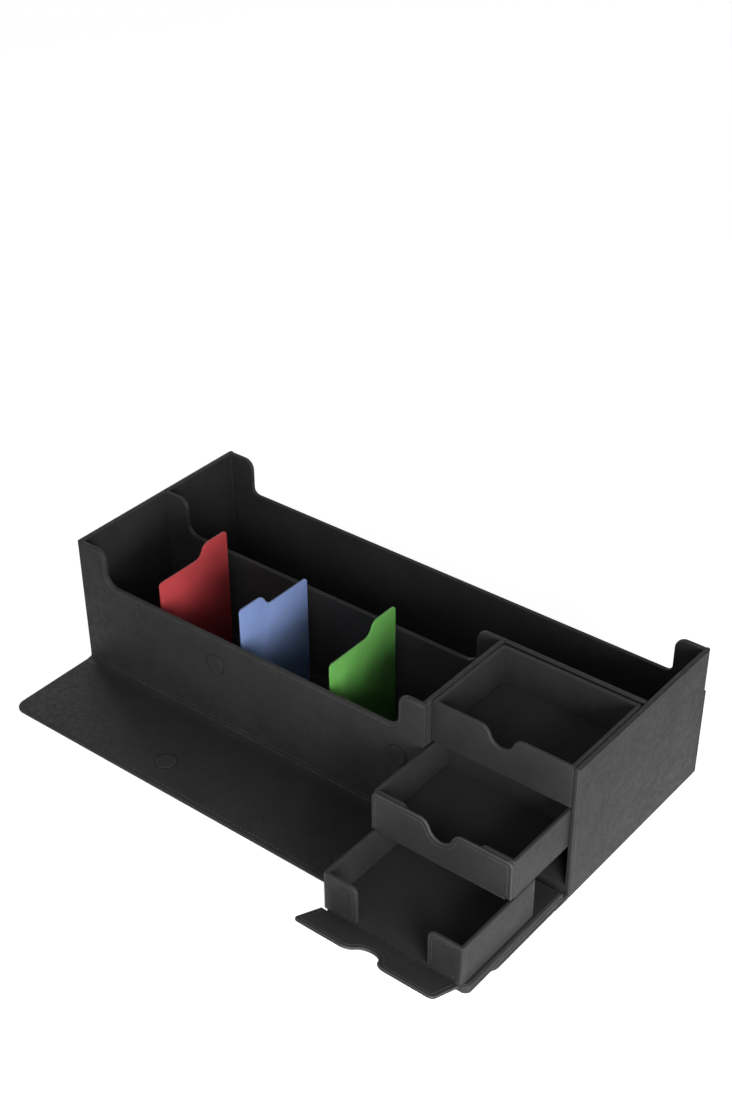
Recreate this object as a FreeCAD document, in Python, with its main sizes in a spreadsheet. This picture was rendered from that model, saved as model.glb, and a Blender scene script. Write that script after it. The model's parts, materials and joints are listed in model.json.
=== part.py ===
"""Trading card drawer box: a leatherette covered card case with a drawer bay at its right end.

Frame: X along the length to the right, Y from front to back, Z up, millimetres. The origin is the
middle of the footprint, on the face that the case stands on.
"""
import FreeCAD
import Part
import Sketcher
import math
import os
import re

DRIVING = {
    # the case
    "case_length": 427,
    "case_depth": 166,
    "case_height": 107,
    "wall": 3.5,
    "base_thickness": 3.5,
    "edge_bevel": 0.8,
    "front_depth": 85.3,
    "divider_thickness": 3.5,
    "bay_width": 107.8,
    "bay_side_thickness": 4,
    "shelf_thickness": 1,
    "shelf_setback": 3,
    "back_panel_thickness": 1.5,
    "back_panel_margin": 7,
    "lining_thickness": 0.6,
    # the low cut-outs in the long walls, between the raised tabs at their ends
    "front_cutout_drop": 28,
    "front_tab": 24,
    "front_right_tab": 21.5,
    "front_tab_round": 8.5,
    "front_cutout_round": 9,
    "back_cutout_drop": 29,
    "back_tab": 21.5,
    "back_tab_round": 8.5,
    "back_cutout_round": 5,
    "divider_cutout_drop": 29,
    "divider_tab": 21.5,
    "divider_right_tab": 19,
    # working gaps
    "running_gap": 0.3,
    "side_gap": 0.4,
    # the flap along the whole front and the door in front of the bay
    "flap_reach": 78.7,
    "flap_corner": 9,
    "flap_hinge_gap": 3.6,
    "door_thickness": 6.8,
    "door_reach": 103.5,
    "door_corner": 5,
    "cloth": 0.6,
    # round magnet pads on the front wall and the flap
    "pad_radius": 8,
    "pad_height": 0.5,
    "pad_level": 55.5,
    "pad_left": 132,
    "pad_inset": 21.7,
    # the two card drawers
    "drawer_height": 30.5,
    "drawer_depth": 76.5,
    "drawer_wall": 2.8,
    "drawer_floor": 2.2,
    "drawer_corner": 2,
    "drawer_return": 26.5,
    "return_round": 6,
    "drawer_edge": 0.6,
    "upper_out": 62.5,
    "lower_out": 113.3,
    # the drop front of each drawer
    "drop_thickness": 2.5,
    "drop_corner": 4,
    "drop_lift": 0.8,
    "drop_edge": 0.5,
    "lower_drop_angle": 65,
    "strip_thickness": 0.5,
    "strip_reach": 8,
    "strip_nose": 0.3,
    "button_radius": 3,
    "button_depth": 1.2,
    # the bell-shaped thumb notch that drawers and token tray share
    "notch_depth": 12.5,
    "notch_radius": 9,
    "notch_shoulder": 9,
    # the token tray over the drawers
    "tray_wall": 2.8,
    "tray_floor": 2.2,
    # the loose card dividers
    "card_width": 71,
    "card_below_rim": 3,
    "card_tab_rise": 10,
    "card_turn": 45,
    "card_wave": 8,
    "card_thickness": 1.5,
    "card_corner": 3,
    "card_offset": 5.5,
    "red_place": 72,
    "blue_place": 149,
    "green_place": 229,
}

DERIVED = {
    "bay_left": "case_length - wall - bay_width",
    "bay_side_left": "bay_left - bay_side_thickness",
    "divider_front": "wall + front_depth",
    "divider_back": "divider_front + divider_thickness",
    "front_recess": "door_thickness + running_gap",
    "bay_floor_top": "base_thickness + door_thickness",
    "flap_thickness": "base_thickness - running_gap",
    "drawer_width": "bay_width - 2 * side_gap",
    "drawer_left": "bay_left + side_gap",
    "lower_level": "bay_floor_top + running_gap",
    "drawer_shelf_level": "lower_level + drawer_height + running_gap",
    "upper_level": "drawer_shelf_level + shelf_thickness + running_gap",
    "tray_shelf_level": "upper_level + drawer_height + running_gap",
    "tray_level": "tray_shelf_level + shelf_thickness + running_gap",
    "tray_height": "case_height - tray_level",
    "tray_depth": "drop_thickness + drawer_depth",
    "card_level": "base_thickness + lining_thickness",
    "card_high": "case_height - card_below_rim - card_level",
    "card_low": "card_high - card_tab_rise",
    "front_cutout_level": "case_height - front_cutout_drop",
    "back_cutout_level": "case_height - back_cutout_drop",
    "divider_cutout_level": "case_height - divider_cutout_drop",
    "back_panel_height": "back_cutout_level - back_panel_margin",
}

# how near two places lie, in millimetres, to count as one
TOUCH = 1e-4

document = FreeCAD.newDocument("card_drawer_box")
sizes = document.addObject("Spreadsheet::Sheet", "Sizes")


def fill_sheet():
    """Write each size and each rule between sizes into the sheet, one row each."""
    rows = [(alias, str(number)) for alias, number in DRIVING.items()]
    rows += [(alias, "=" + rule) for alias, rule in DERIVED.items()]
    for row, (alias, text) in enumerate(rows, start=1):
        sizes.set(f"A{row}", alias)
        sizes.set(f"B{row}", text)
        sizes.setAlias(f"B{row}", alias)
    document.recompute()


def value(formula):
    """The present value of a formula that names cells of the sheet."""
    return float(sizes.evalExpression(str(formula)))


def tied(formula):
    """The same formula as seen from another object of the document."""
    return re.sub(r"[a-z][a-z_]+", lambda word: "Sizes." + word.group(), str(formula))


def new_body(label, x, y, z):
    """A body placed by formulas measured from the case's front left bottom corner."""
    body = document.addObject("PartDesign::Body", label)
    body.Label = label
    body.setExpression("Placement.Base.x", tied(f"-case_length / 2 + {x}"))
    body.setExpression("Placement.Base.y", tied(f"-case_depth / 2 + {y}"))
    body.setExpression("Placement.Base.z", tied(z))
    return body


def new_sketch(body, plane, name, lift="0"):
    """An empty sketch on one of the body's own origin planes, lifted off it along its normal."""
    sketch = body.newObject("Sketcher::SketchObject", name)
    for feature in body.Origin.OriginFeatures:
        if feature.Role == plane:
            sketch.AttachmentSupport = [(feature, "")]
    sketch.MapMode = "FlatFace"
    sketch.setExpression("AttachmentOffset.Base.z", tied(lift))
    return sketch


def fix(sketch, kind, name, formula, *where):
    """Add a dimension to the sketch and tie it to the sheet."""
    number = sketch.addConstraint(Sketcher.Constraint(kind, *where, value(formula)))
    sketch.renameConstraint(number, name)
    sketch.setExpression(f"Constraints.{name}", tied(formula))


def fix_point(sketch, name, geometry, point, x=None, y=None):
    """Hold one point of the sketch at the given distances from the origin."""
    for axis, formula, kind in ((-2, x, "DistanceX"), (-1, y, "DistanceY")):
        if formula == "0":
            sketch.addConstraint(Sketcher.Constraint("PointOnObject", geometry, point, axis))
        elif formula is not None:
            fix(sketch, kind, f"{name}_{kind[-1].lower()}", formula, -1, 1, geometry, point)


def at(x, y):
    """A point in the plane of a sketch."""
    return FreeCAD.Vector(x, y, 0)


def arc_between(sketch, centre, radius, start, end):
    """An arc round the centre from the start point to the end point, anticlockwise."""
    angles = [math.atan2(point.y - centre.y, point.x - centre.x) for point in (start, end)]
    circle = Part.Circle(centre, FreeCAD.Vector(0, 0, 1), radius)
    return sketch.addGeometry(Part.ArcOfCircle(circle, *angles))


def outline(body, plane, name, corners, lift="0"):
    """A closed outline of level and upright edges, anticlockwise.

    Each corner is (x, y) for a sharp one or (x, y, radius) for a round one, all formulas.
    """
    sketch = new_sketch(body, plane, name, lift)
    points = [at(value(corner[0]), value(corner[1])) for corner in corners]
    radii = [value(corner[2]) if len(corner) > 2 else 0 for corner in corners]
    edges = []
    for number, start in enumerate(points):
        end = points[(number + 1) % len(points)]
        along = (end - start).normalize()
        start_trim = along * radii[number]
        end_trim = along * radii[(number + 1) % len(points)]
        edges.append(sketch.addGeometry(Part.LineSegment(start + start_trim, end - end_trim)))
    for number, corner in enumerate(corners):
        before, after = edges[number - 1], edges[number]
        if not radii[number]:
            sketch.addConstraint(Sketcher.Constraint("Coincident", before, 2, after, 1))
            continue
        first = sketch.Geometry[before].EndPoint
        last = sketch.Geometry[after].StartPoint
        centre = first + last - points[number]
        turn = (points[number] - first).cross(last - points[number]).z
        ends = (first, last) if turn > 0 else (last, first)
        arc = arc_between(sketch, centre, radii[number], *ends)
        near, far = (1, 2) if turn > 0 else (2, 1)
        sketch.addConstraint(Sketcher.Constraint("Tangent", before, 2, arc, near))
        sketch.addConstraint(Sketcher.Constraint("Tangent", arc, far, after, 1))
        fix(sketch, "Radius", f"round_{number}", corner[2], arc)
    for number, corner in enumerate(corners):
        following = corners[(number + 1) % len(corners)]
        if corner[0] == following[0]:
            sketch.addConstraint(Sketcher.Constraint("Vertical", edges[number]))
            fix_point(sketch, f"edge_{number}", edges[number], 1, x=corner[0])
        else:
            sketch.addConstraint(Sketcher.Constraint("Horizontal", edges[number]))
            fix_point(sketch, f"edge_{number}", edges[number], 1, y=corner[1])
    return sketch


def notched_outline(body, name, width, bottom, top, corner=None):
    """An upright panel's outline with the bell-shaped thumb notch in the middle of its top edge."""
    sketch = new_sketch(body, "XZ_Plane", name)
    middle = f"({width}) / 2"
    low_centre = at(value(middle), value(f"{top} - notch_depth + notch_radius"))
    rise = low_centre.y - value(f"{top} - notch_shoulder")
    reach = value("notch_radius + notch_shoulder")
    spread = math.sqrt(reach ** 2 - rise ** 2)
    radius = value(corner) if corner else 0
    left, right, base, head = 0, value(width), value(bottom), value(top)
    shoulder_centres = [at(low_centre.x + side * spread, value(f"{top} - notch_shoulder"))
                        for side in (1, -1)]
    share = value("notch_radius") / reach
    joints = [low_centre + (centre - low_centre) * share for centre in shoulder_centres]
    crests = [at(centre.x, head) for centre in shoulder_centres]
    bottom_edge = sketch.addGeometry(Part.LineSegment(at(left, base), at(right, base)))
    right_edge = sketch.addGeometry(Part.LineSegment(at(right, base), at(right, head - radius)))
    right_top = sketch.addGeometry(Part.LineSegment(at(right - radius, head), crests[0]))
    left_top = sketch.addGeometry(Part.LineSegment(crests[1], at(left + radius, head)))
    left_edge = sketch.addGeometry(Part.LineSegment(at(left, head - radius), at(left, base)))
    right_shoulder = arc_between(sketch, shoulder_centres[0], value("notch_shoulder"),
                                 crests[0], joints[0])
    notch = arc_between(sketch, low_centre, value("notch_radius"), joints[1], joints[0])
    left_shoulder = arc_between(sketch, shoulder_centres[1], value("notch_shoulder"),
                                joints[1], crests[1])
    joined = [("Coincident", bottom_edge, 2, right_edge, 1),
              ("Coincident", left_edge, 2, bottom_edge, 1),
              ("Tangent", right_top, 2, right_shoulder, 1),
              ("Tangent", right_shoulder, 2, notch, 2),
              ("Tangent", notch, 1, left_shoulder, 1),
              ("Tangent", left_shoulder, 2, left_top, 1)]
    if corner:
        right_corner = arc_between(sketch, at(right - radius, head - radius), radius,
                                   at(right, head - radius), at(right - radius, head))
        left_corner = arc_between(sketch, at(left + radius, head - radius), radius,
                                  at(left + radius, head), at(left, head - radius))
        joined += [("Tangent", right_edge, 2, right_corner, 1),
                   ("Tangent", right_corner, 2, right_top, 1),
                   ("Tangent", left_top, 2, left_corner, 1),
                   ("Tangent", left_corner, 2, left_edge, 1)]
    else:
        joined += [("Coincident", right_edge, 2, right_top, 1),
                   ("Coincident", left_top, 2, left_edge, 1)]
    joined += [("Vertical", right_edge), ("Vertical", left_edge), ("Horizontal", bottom_edge),
               ("Horizontal", right_top), ("Horizontal", left_top)]
    for constraint in joined:
        sketch.addConstraint(Sketcher.Constraint(*constraint))
    fix_point(sketch, "left", left_edge, 2, x="0")
    fix_point(sketch, "base", bottom_edge, 1, y=bottom)
    fix_point(sketch, "right", right_edge, 1, x=width)
    fix_point(sketch, "right_head", right_top, 2, y=top)
    fix_point(sketch, "left_head", left_top, 1, y=top)
    fix_point(sketch, "middle", notch, 3, x=middle, y=f"{top} - notch_depth + notch_radius")
    fix(sketch, "Radius", "notch", "notch_radius", notch)
    fix(sketch, "Radius", "right_shoulder", "notch_shoulder", right_shoulder)
    fix(sketch, "Radius", "left_shoulder", "notch_shoulder", left_shoulder)
    if corner:
        fix(sketch, "Radius", "right_corner", corner, right_corner)
        fix(sketch, "Radius", "left_corner", corner, left_corner)
    return sketch


def wave_outline(body, name, tab_at_back):
    """A card divider's outline: a low half and a raised half, joined by a wave of two arcs."""
    sketch = new_sketch(body, "YZ_Plane", name)
    width, low, high = value("card_width"), value("card_low"), value("card_high")
    wave, corner = value("card_wave"), value("card_corner")
    run = math.sqrt(wave ** 2 - (wave - (high - low) / 2) ** 2)
    turn = "card_turn" if tab_at_back else "card_width - card_turn"
    middle = value(turn)
    first, last = (low, high) if tab_at_back else (high, low)
    lift = wave if tab_at_back else -wave
    turning = at(middle, (low + high) / 2)
    front_centre = at(middle - run, first + lift)
    back_centre = at(middle + run, last - lift)
    bottom = sketch.addGeometry(Part.LineSegment(at(0, 0), at(width, 0)))
    back = sketch.addGeometry(Part.LineSegment(at(width, 0), at(width, last - corner)))
    back_top = sketch.addGeometry(Part.LineSegment(at(width - corner, last), at(middle + run, last)))
    front_top = sketch.addGeometry(Part.LineSegment(at(middle - run, first), at(corner, first)))
    front = sketch.addGeometry(Part.LineSegment(at(0, first - corner), at(0, 0)))
    back_corner = arc_between(sketch, at(width - corner, last - corner), corner,
                              at(width, last - corner), at(width - corner, last))
    front_corner = arc_between(sketch, at(corner, first - corner), corner,
                               at(corner, first), at(0, first - corner))
    back_ends = (at(middle + run, last), turning)
    front_ends = (at(middle - run, first), turning)
    if not tab_at_back:
        back_ends = tuple(reversed(back_ends))
        front_ends = tuple(reversed(front_ends))
    back_wave = arc_between(sketch, back_centre, wave, *back_ends)
    front_wave = arc_between(sketch, front_centre, wave, *front_ends)
    crest, foot = (1, 2) if tab_at_back else (2, 1)
    for constraint in (("Coincident", bottom, 2, back, 1),
                       ("Coincident", front, 2, bottom, 1),
                       ("Tangent", back, 2, back_corner, 1),
                       ("Tangent", back_corner, 2, back_top, 1),
                       ("Tangent", back_top, 2, back_wave, crest),
                       ("Tangent", back_wave, foot, front_wave, foot),
                       ("Tangent", front_wave, crest, front_top, 1),
                       ("Tangent", front_top, 2, front_corner, 1),
                       ("Tangent", front_corner, 2, front, 1),
                       ("Vertical", back), ("Vertical", front), ("Horizontal", bottom),
                       ("Horizontal", back_top), ("Horizontal", front_top),
                       ("Equal", front_wave, back_wave), ("Equal", front_corner, back_corner)):
        sketch.addConstraint(Sketcher.Constraint(*constraint))
    heights = ("card_low", "card_high") if tab_at_back else ("card_high", "card_low")
    fix_point(sketch, "foot", bottom, 1, x="0", y="0")
    fix_point(sketch, "back", back, 1, x="card_width")
    fix_point(sketch, "back_top", back_top, 1, y=heights[1])
    fix_point(sketch, "front_top", front_top, 1, y=heights[0])
    fix_point(sketch, "turning", back_wave, foot, x=turn)
    fix(sketch, "Radius", "wave", "card_wave", back_wave)
    fix(sketch, "Radius", "corner", "card_corner", back_corner)
    return sketch


def discs(body, plane, name, radius, centres, lift="0"):
    """A sketch of equal circles at the given centres."""
    sketch = new_sketch(body, plane, name, lift)
    for number, (x, y) in enumerate(centres):
        circle = Part.Circle(at(value(x), value(y)), FreeCAD.Vector(0, 0, 1), value(radius))
        geometry = sketch.addGeometry(circle)
        fix(sketch, "Radius", f"radius_{number}", radius, geometry)
        fix_point(sketch, f"centre_{number}", geometry, 3, x=x, y=y)
    return sketch


def extrude(body, kind, sketch, name, length, backwards=False):
    """Pad or pocket a sketch by a length from the sheet."""
    feature = body.newObject(f"PartDesign::{kind}", name)
    feature.Profile = sketch
    feature.setExpression("Length", tied(length))
    feature.Reversed = backwards
    sketch.Visibility = False
    return feature


def break_edges(body, kind, name, size, chosen):
    """Round or bevel those edges of the body so far that the test chooses."""
    document.recompute()
    base = body.Tip
    names = [f"Edge{number}" for number, edge in enumerate(base.Shape.Edges, start=1)
             if chosen(edge)]
    feature = body.newObject(f"PartDesign::{kind}", name)
    feature.Base = (base, names)
    feature.setExpression("Radius" if kind == "Fillet" else "Size", tied(size))
    return feature


def rim_test(axis, *faces, reaching=None, starting=None):
    """A test for edges that lie in one of the faces across an axis.

    An edge must also reach over one level, or start at another, where those are given.
    """
    places = [value(face) for face in faces]
    least_top = value(reaching) if reaching else -math.inf
    least_bottom = value(starting) if starting else -math.inf

    def chosen(edge):
        box = edge.BoundBox
        low, high = {"x": (box.XMin, box.XMax), "y": (box.YMin, box.YMax),
                     "z": (box.ZMin, box.ZMax)}[axis]
        in_face = any(abs(low - place) < TOUCH and abs(high - place) < TOUCH for place in places)
        return in_face and box.ZMax > least_top + TOUCH and box.ZMin > least_bottom - TOUCH

    return chosen


def board(label, plane, corners, thickness, place, rims=None):
    """A covered board: one outline, one pad and soft edges where rims names them."""
    body = new_body(label, *place)
    sketch = outline(body, plane, f"{label}_outline", corners)
    extrude(body, "Pad", sketch, f"{label}_pad", thickness, backwards=plane == "XZ_Plane")
    if rims:
        break_edges(body, "Chamfer", f"{label}_edges", "edge_bevel", rims)
    return body


def cut_out_corners(width, low, tab, right_tab, tab_round, cut_round):
    """The outline of a wall whose top is cut down between a raised tab at each end."""
    height = "case_height"
    right = f"{width} - {right_tab}"
    return [("0", "0"), (width, "0"), (width, height),
            (right, height, tab_round), (right, low, cut_round),
            (tab, low, cut_round), (tab, height, tab_round), ("0", height)]


def end_wall_rims(outer, inner):
    """A test for an end wall's outer edges, its foot apart, and its inner top edge."""
    outer_rim = rim_test("x", outer, reaching="0")
    inner_rim = rim_test("x", inner, starting="case_height")
    return lambda edge: outer_rim(edge) or inner_rim(edge)


def build_case():
    """The boards of the case: base, walls, partitions, shelves and linings."""
    board("base_board", "XY_Plane",
          [("wall", "wall"), ("bay_left", "wall"), ("bay_left", "0"), ("case_length", "0"),
           ("case_length", "front_recess"), ("case_length - wall", "front_recess"),
           ("case_length - wall", "case_depth - wall"), ("wall", "case_depth - wall")],
          "base_thickness", ("0", "0", "0"))
    board("left_end_wall", "YZ_Plane",
          [("0", "0"), ("case_depth", "0"), ("case_depth", "case_height"), ("0", "case_height")],
          "wall", ("0", "0", "0"), end_wall_rims("0", "wall"))
    board("right_end_wall", "YZ_Plane",
          [("0", "0"), ("case_depth - front_recess", "0"),
           ("case_depth - front_recess", "case_height"), ("0", "case_height")],
          "wall", ("case_length - wall", "front_recess", "0"), end_wall_rims("wall", "0"))
    board("front_wall", "XZ_Plane",
          cut_out_corners("(bay_left - wall)", "front_cutout_level", "front_tab",
                          "front_right_tab", "front_tab_round", "front_cutout_round"),
          "wall", ("wall", "0", "0"), rim_test("y", "0", "wall", starting="front_cutout_level"))
    board("back_wall", "XZ_Plane",
          cut_out_corners("(case_length - 2 * wall)", "back_cutout_level", "back_tab",
                          "back_tab", "back_tab_round", "back_cutout_round"),
          "wall", ("wall", "case_depth - wall", "0"),
          rim_test("y", "0", "wall", starting="back_cutout_level"))
    board("back_panel", "XZ_Plane",
          [("0", "0"), ("case_length", "0"), ("case_length", "back_panel_height"),
           ("0", "back_panel_height")],
          "back_panel_thickness", ("0", "case_depth", "0"))
    board("long_divider", "XZ_Plane",
          [("0", "0"), ("case_length - 2 * wall", "0"),
           ("case_length - 2 * wall", "case_height - base_thickness"),
           ("bay_side_left - wall - divider_right_tab", "case_height - base_thickness",
            "front_tab_round"),
           ("bay_side_left - wall - divider_right_tab", "divider_cutout_level - base_thickness",
            "front_cutout_round"),
           ("divider_tab", "divider_cutout_level - base_thickness", "front_cutout_round"),
           ("divider_tab", "case_height - base_thickness", "front_tab_round"),
           ("0", "case_height - base_thickness")],
          "divider_thickness", ("wall", "divider_front", "base_thickness"),
          rim_test("y", "0", "divider_thickness",
                   starting="divider_cutout_level - base_thickness"))
    board("bay_side_wall", "YZ_Plane",
          [("0", "0"), ("front_depth", "0"), ("front_depth", "case_height - base_thickness"),
           ("0", "case_height - base_thickness")],
          "bay_side_thickness", ("bay_side_left", "wall", "base_thickness"),
          rim_test("x", "0", "bay_side_thickness", starting="case_height - base_thickness"))
    board("bay_floor", "XY_Plane",
          [("0", "0"), ("bay_width", "0"), ("bay_width", "divider_front - front_recess"),
           ("0", "divider_front - front_recess")],
          "door_thickness", ("bay_left", "front_recess", "base_thickness"))
    for label, level in (("drawer_shelf", "drawer_shelf_level"), ("tray_shelf", "tray_shelf_level")):
        board(label, "XY_Plane",
              [("0", "0"), ("bay_width", "0"),
               ("bay_width", "divider_front - front_recess - shelf_setback"),
               ("0", "divider_front - front_recess - shelf_setback")],
              "shelf_thickness", ("bay_left", "front_recess + shelf_setback", level))
    lining("front_lining", "bay_side_left - wall", "front_depth", ("wall", "wall"))
    lining("rear_lining", "case_length - 2 * wall", "case_depth - wall - divider_back",
           ("wall", "divider_back"))


def lining(label, width, depth, place):
    """A microfibre sheet on the floor of a compartment, a working gap smaller all round."""
    board(label, "XY_Plane",
          [("0", "0"), (f"{width} - 2 * running_gap", "0"),
           (f"{width} - 2 * running_gap", f"{depth} - 2 * running_gap"),
           ("0", f"{depth} - 2 * running_gap")],
          "lining_thickness",
          (f"{place[0]} + running_gap", f"{place[1]} + running_gap", "base_thickness"))


def build_flap():
    """The flap that lies open in front of the case, its hinge spine and the magnet pads."""
    board("front_flap", "XY_Plane",
          [("0", "0", "flap_corner"), ("case_length", "0", "flap_corner"),
           ("case_length", "flap_reach - flap_hinge_gap"),
           ("0", "flap_reach - flap_hinge_gap")],
          "flap_thickness", ("0", "-flap_reach", "0"),
          lambda edge: rim_test("z", "0", "flap_thickness")(edge)
          and not rim_test("y", "flap_reach - flap_hinge_gap")(edge))
    spine = new_body("front_flap_spine", "0", "-flap_hinge_gap / 2", "flap_thickness / 2")
    sketch = discs(spine, "YZ_Plane", "spine_section", "flap_hinge_gap / 2 - running_gap",
                   [("0", "0")])
    extrude(spine, "Pad", sketch, "spine_pad", "case_length")
    flap_pads = new_body("flap_magnet_pads", "0", "0", "flap_thickness")
    places = [("pad_left", "0"), ("bay_left - pad_inset", "0")]
    sketch = discs(flap_pads, "XY_Plane", "flap_pads", "pad_radius", places)
    flap_pads.setExpression("Placement.Base.y", tied("-case_depth / 2 - pad_level"))
    extrude(flap_pads, "Pad", sketch, "flap_pads_pad", "pad_height")
    wall_pads = new_body("wall_magnet_pads", "0", "0", "pad_level")
    sketch = discs(wall_pads, "XZ_Plane", "wall_pads", "pad_radius", places)
    extrude(wall_pads, "Pad", sketch, "wall_pads_pad", "pad_height")
    for pads, face in ((flap_pads, rim_test("z", "pad_height")),
                       (wall_pads, rim_test("y", "-pad_height"))):
        break_edges(pads, "Chamfer", f"{pads.Label}_edges", "pad_height * 0.6", face)


def build_door():
    """The thick door that folds down in front of the drawers, and its cloth hinge."""
    width = "(case_length - bay_left - side_gap)"
    length = "(door_reach - cloth)"
    board("bay_door", "XY_Plane",
          [("0", "0", "door_corner"), (width, "0", "door_corner"), (width, length),
           ("0", length)],
          "door_thickness", ("bay_left + side_gap", "-door_reach", "base_thickness"),
          lambda edge: rim_test("z", "0", "door_thickness")(edge)
          and not rim_test("y", length)(edge))
    board("bay_door_hinge", "YZ_Plane",
          [("0", "0"), ("front_recess + cloth", "0"), ("front_recess + cloth", "cloth"),
           ("cloth", "cloth"), ("cloth", "door_thickness - edge_bevel"),
           ("0", "door_thickness - edge_bevel")],
          width, ("bay_left + side_gap", "-cloth", "base_thickness"))


def build_drawer(side, level, out, angle):
    """One card drawer: an open tray with corner returns, its lining, drop front and hinge."""
    front = f"front_recess + drop_thickness - {out}"
    tray = new_body(f"{side}_drawer", "drawer_left", front, level)
    corner = "drawer_corner"
    floor = outline(tray, "XY_Plane", "floor_outline",
                    [("0", "0", corner), ("drawer_width", "0", corner),
                     ("drawer_width", "drawer_depth", corner), ("0", "drawer_depth", corner)])
    extrude(tray, "Pad", floor, "floor_pad", "drawer_floor")
    inner_right = "drawer_width - drawer_wall"
    inner_back = "drawer_depth - drawer_wall"
    walls = outline(tray, "XY_Plane", "walls_outline",
                    [("0", "0", corner), ("drawer_return", "0"),
                     ("drawer_return", "drawer_wall"), ("drawer_wall", "drawer_wall"),
                     ("drawer_wall", inner_back), (inner_right, inner_back),
                     (inner_right, "drawer_wall"), ("drawer_width - drawer_return", "drawer_wall"),
                     ("drawer_width - drawer_return", "0"), ("drawer_width", "0", corner),
                     ("drawer_width", "drawer_depth", corner), ("0", "drawer_depth", corner)])
    extrude(tray, "Pad", walls, "walls_pad", "drawer_height")
    returns = [value("drawer_return"), value("drawer_width - drawer_return")]
    top = value("drawer_height")

    def return_corner(edge):
        box = edge.BoundBox
        level_with_top = abs(box.ZMin - top) < TOUCH and abs(box.ZMax - top) < TOUCH
        return level_with_top and any(abs(box.XMin - place) < TOUCH
                                      and abs(box.XMax - place) < TOUCH for place in returns)

    break_edges(tray, "Fillet", "return_corners", "return_round", return_corner)
    buttons = [("drawer_return / 2", "drawer_height / 2"),
               ("drawer_width - drawer_return / 2", "drawer_height / 2")]
    seats = discs(tray, "XZ_Plane", "button_seats", "button_radius", buttons)
    extrude(tray, "Pocket", seats, "button_seats_pocket", "button_depth")
    rebate = outline(tray, "XY_Plane", "hinge_rebate",
                     [("drop_corner", "0"), ("drawer_width - drop_corner", "0"),
                      ("drawer_width - drop_corner", "strip_reach"),
                      ("drop_corner", "strip_reach")])
    extrude(tray, "Pocket", rebate, "hinge_rebate_pocket", "strip_thickness", backwards=True)
    break_edges(tray, "Chamfer", "soft_rim", "drawer_edge",
                rim_test("z", "drawer_height"))

    liner = new_body(f"{side}_drawer_lining", f"drawer_left + drawer_wall + running_gap",
                     f"{front} + drawer_wall + running_gap", f"{level} + drawer_floor")
    sheet = outline(liner, "XY_Plane", "lining_outline",
                    [("0", "0"), ("drawer_width - 2 * drawer_wall - 2 * running_gap", "0"),
                     ("drawer_width - 2 * drawer_wall - 2 * running_gap",
                      "drawer_depth - 2 * drawer_wall - 2 * running_gap"),
                     ("0", "drawer_depth - 2 * drawer_wall - 2 * running_gap")])
    extrude(liner, "Pad", sheet, "lining_pad", "lining_thickness")

    magnets = new_body(f"{side}_drawer_magnets", "drawer_left", f"{front} + button_depth", level)
    sketch = discs(magnets, "XZ_Plane", "magnet_outline", "button_radius", buttons)
    extrude(magnets, "Pad", sketch, "magnet_pad", "button_depth")

    pivot = f"front_recess - {out}"
    strip = new_body(f"{side}_drop_hinge", "drawer_left + drop_corner",
                     f"{pivot} - strip_nose", level)
    sketch = outline(strip, "XY_Plane", "strip_outline",
                     [("0", "0"), ("drawer_width - 2 * drop_corner", "0"),
                      ("drawer_width - 2 * drop_corner", "strip_nose + drop_thickness + strip_reach"),
                      ("0", "strip_nose + drop_thickness + strip_reach")])
    extrude(strip, "Pad", sketch, "strip_pad", "strip_thickness")

    drop = new_body(f"{side}_drop_front", "drawer_left", pivot, level)
    panel = notched_outline(drop, "drop_outline", "drawer_width", "drop_lift", "drawer_height",
                            "drop_corner")
    extrude(drop, "Pad", panel, "drop_pad", "drop_thickness", backwards=True)
    seats = discs(drop, "XZ_Plane", "drop_seats", "button_radius", buttons,
                  lift="-drop_thickness")
    extrude(drop, "Pocket", seats, "drop_seats_pocket", "button_depth", backwards=True)
    break_edges(drop, "Chamfer", "drop_edges", "drop_edge",
                lambda edge: rim_test("y", "0", "drop_thickness")(edge)
                and not (edge.Curve.TypeId == "Part::GeomCircle"
                         and abs(edge.Curve.Radius - value("button_radius")) < TOUCH))
    studs = new_body(f"{side}_drop_magnets", "drawer_left", pivot, level)
    sketch = discs(studs, "XZ_Plane", "stud_outline", "button_radius", buttons,
                   lift="-drop_thickness")
    extrude(studs, "Pad", sketch, "stud_pad", "button_depth")
    for body in (drop, studs):
        body.Placement.Rotation = FreeCAD.Rotation(FreeCAD.Vector(1, 0, 0), value(angle))
        body.setExpression("Placement.Rotation.Angle", tied(angle))


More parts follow.
